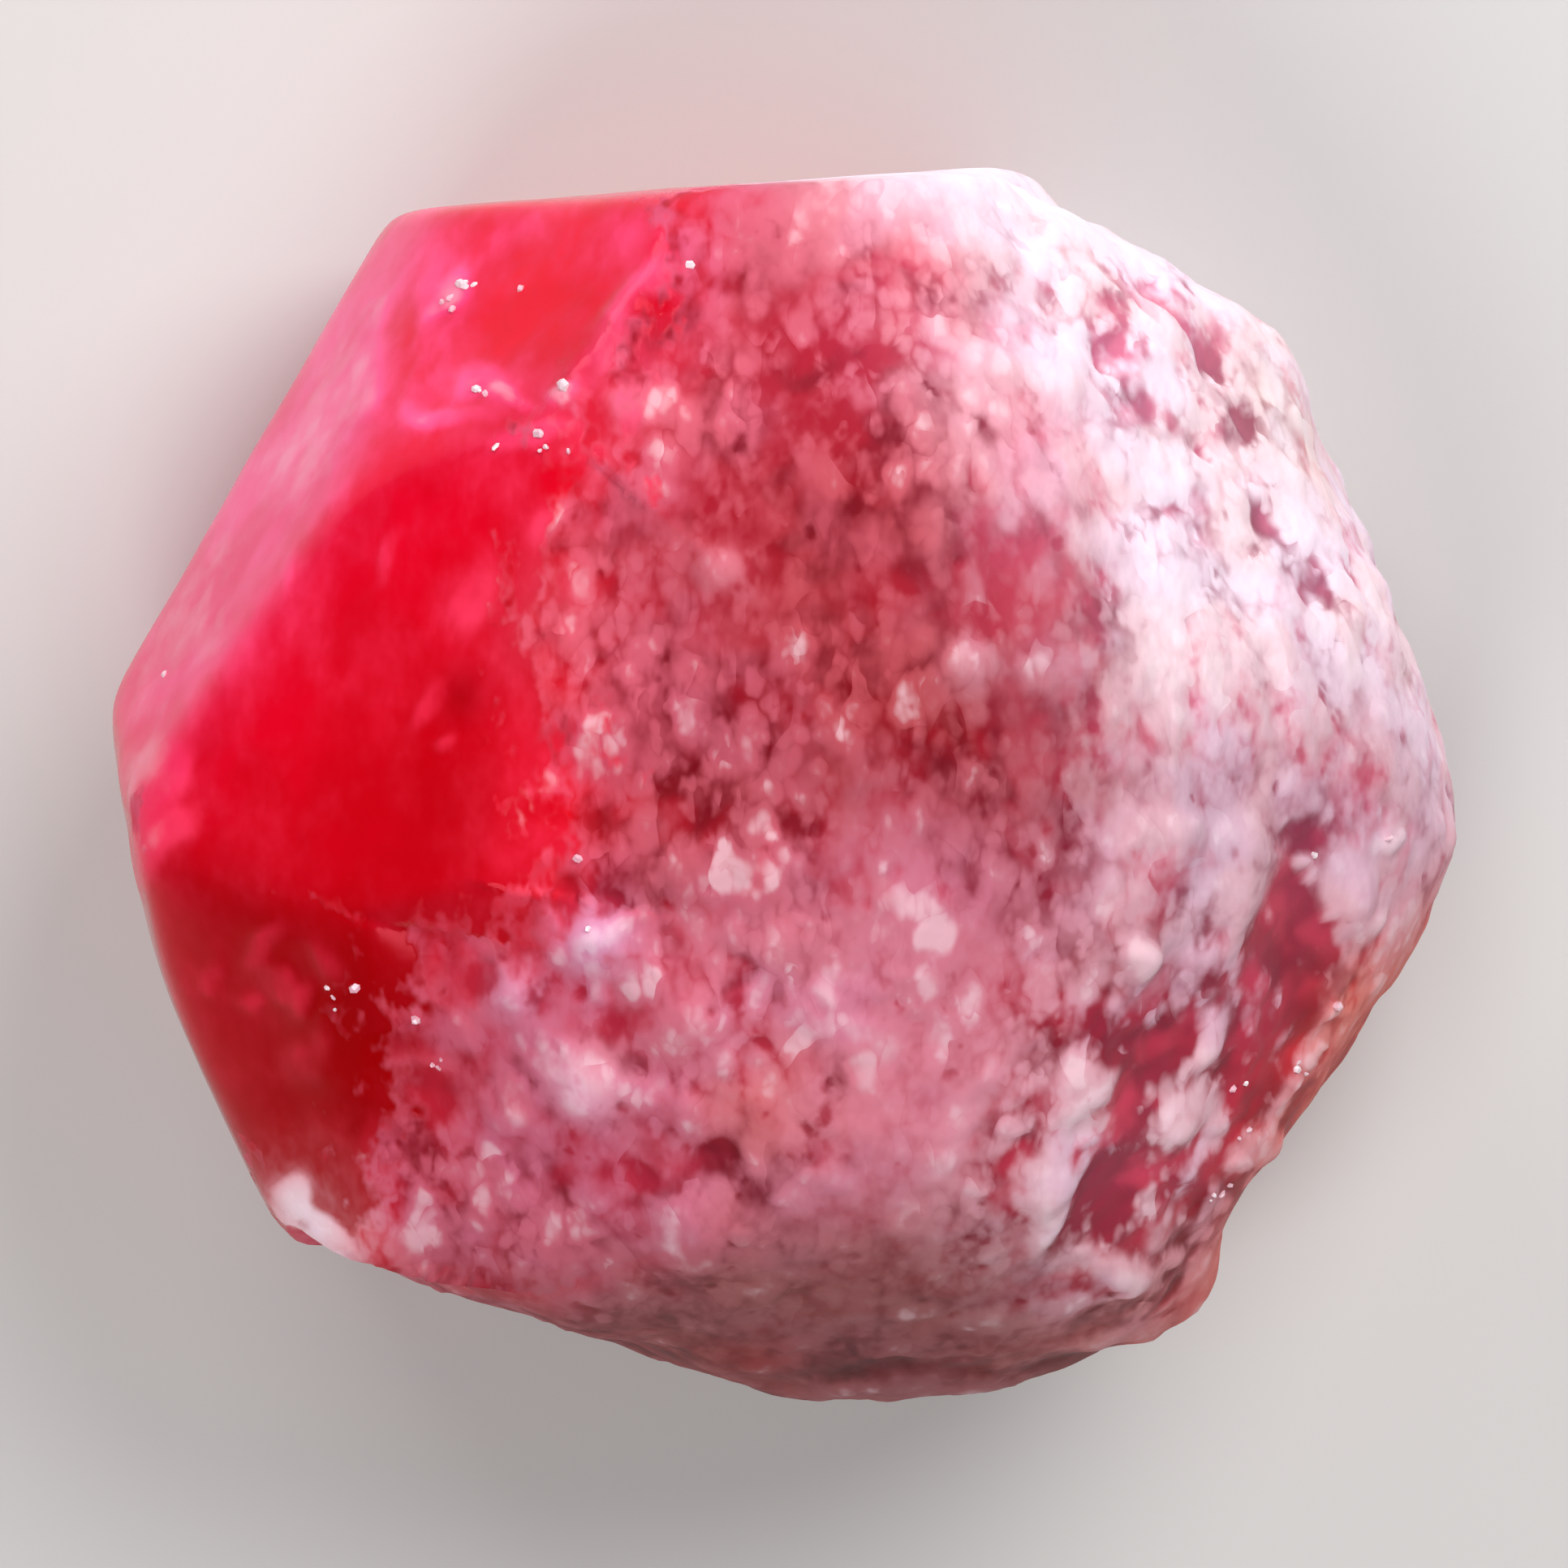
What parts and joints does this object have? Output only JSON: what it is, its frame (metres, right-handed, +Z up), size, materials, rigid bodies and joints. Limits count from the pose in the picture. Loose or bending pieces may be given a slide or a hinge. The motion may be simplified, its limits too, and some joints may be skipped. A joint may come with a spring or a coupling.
{
  "type": "red beryl crystal",
  "caption": "Loose stubby hexagonal red beryl crystal: clear red flat faces to the left, a frosted rose skin with chalky lumps and pits over the rest, and a flat base to rest on.",
  "frame": {"origin": "on the flat base, straight below the crystal's inner centre point", "axes": "+Z up along the six-sided crystal's axis, +X towards the chalky crusted side, +Y towards the flat side that joins the two pairs of clear faces"},
  "size_m": [0.0166, 0.0151, 0.0117],
  "materials": {
    "beryl": "clear glassy red on the flat left faces, turning into a frosted rose skin with white and grey chalky crust"
  },
  "bodies": {
    "root": {"crystal": "beryl"}
  },
  "joints": []
}
